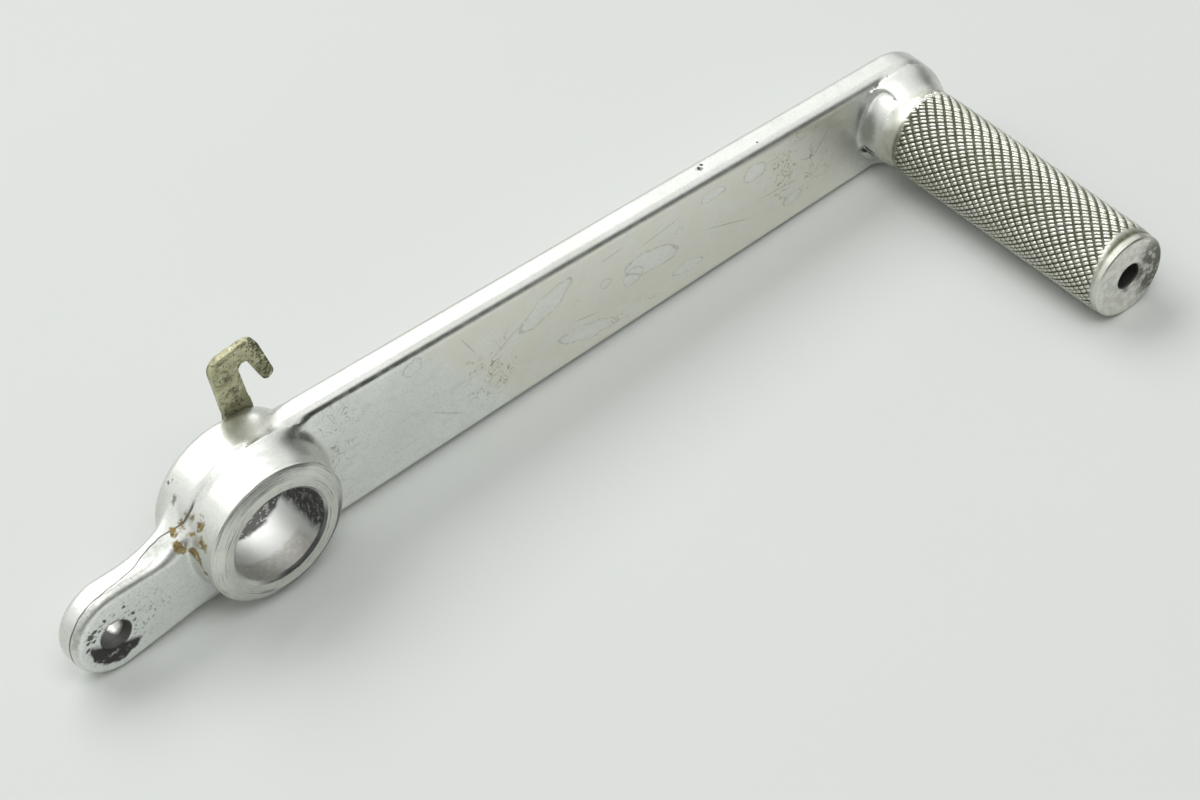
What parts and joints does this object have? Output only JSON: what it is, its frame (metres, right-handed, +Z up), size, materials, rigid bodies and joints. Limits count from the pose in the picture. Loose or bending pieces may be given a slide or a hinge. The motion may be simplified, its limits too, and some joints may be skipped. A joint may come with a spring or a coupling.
{
  "type": "brake pedal",
  "caption": "Forged aluminium rear brake pedal for a motorbike, with a pivot boss, knurled toe peg, push-rod tab and steel spring hook.",
  "frame": {"origin": "on the pivot axis, at the middle of the boss", "axes": "+X from the pivot to the toe peg, +Y along the pivot bore away from the rider, +Z up"},
  "size_m": [0.2175, 0.0787, 0.048],
  "materials": {
    "polished_aluminium": "polished by hand, scuffed and water stained",
    "plated_steel": "yellow zinc plate gone dull and speckled",
    "rivet_steel": "dull zinc plate"
  },
  "bodies": {
    "root": {"pedal_lever": "polished_aluminium", "spring_hook_plate": "plated_steel", "plate_rivets": "rivet_steel"}
  },
  "joints": []
}
